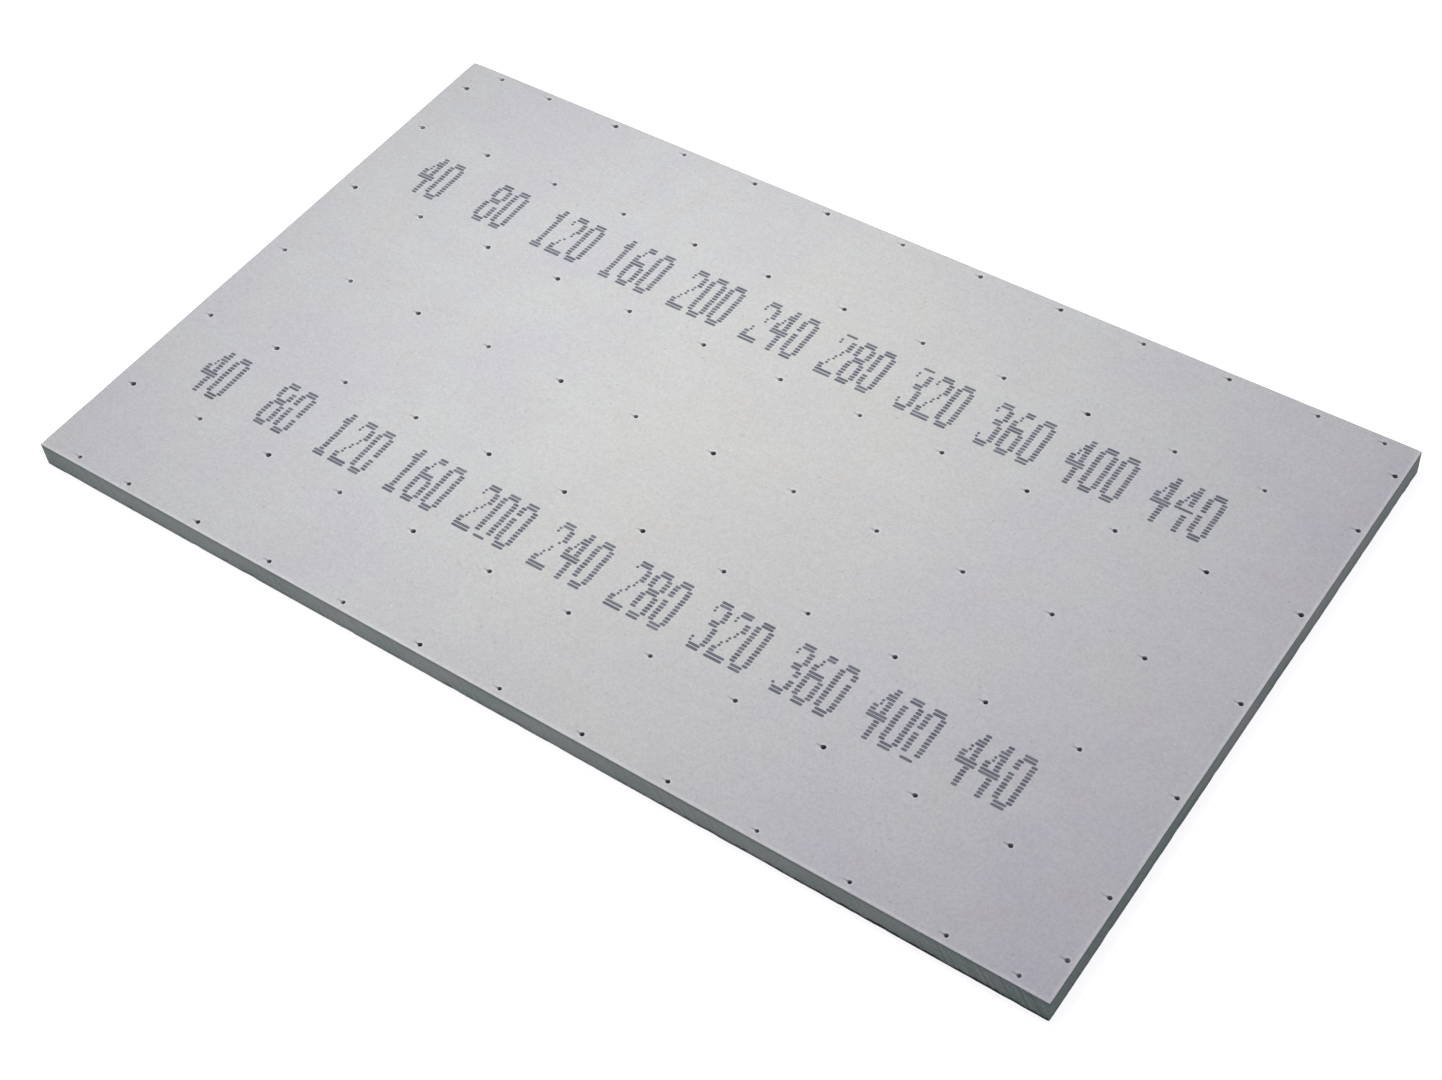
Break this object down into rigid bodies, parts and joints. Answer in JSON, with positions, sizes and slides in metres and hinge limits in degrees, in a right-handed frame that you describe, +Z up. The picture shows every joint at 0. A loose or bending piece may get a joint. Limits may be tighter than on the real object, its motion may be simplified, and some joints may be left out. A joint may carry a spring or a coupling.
{
  "type": "tile backer board",
  "caption": "Flat rectangular fibre cement panel with sawn edges and a grid of small blind pilot holes in its face, screwed down as a base for tiles.",
  "frame": {"origin": "middle of the back, which rests on the floor", "axes": "+X along the length, +Y across the width, +Z up through the thickness, out of the face"},
  "size_m": [0.508, 0.3048, 0.0127],
  "materials": {
    "fibre_cement": "matte pressed face with darker sawn edges"
  },
  "bodies": {
    "root": {"backer_board": "fibre_cement"}
  },
  "joints": []
}
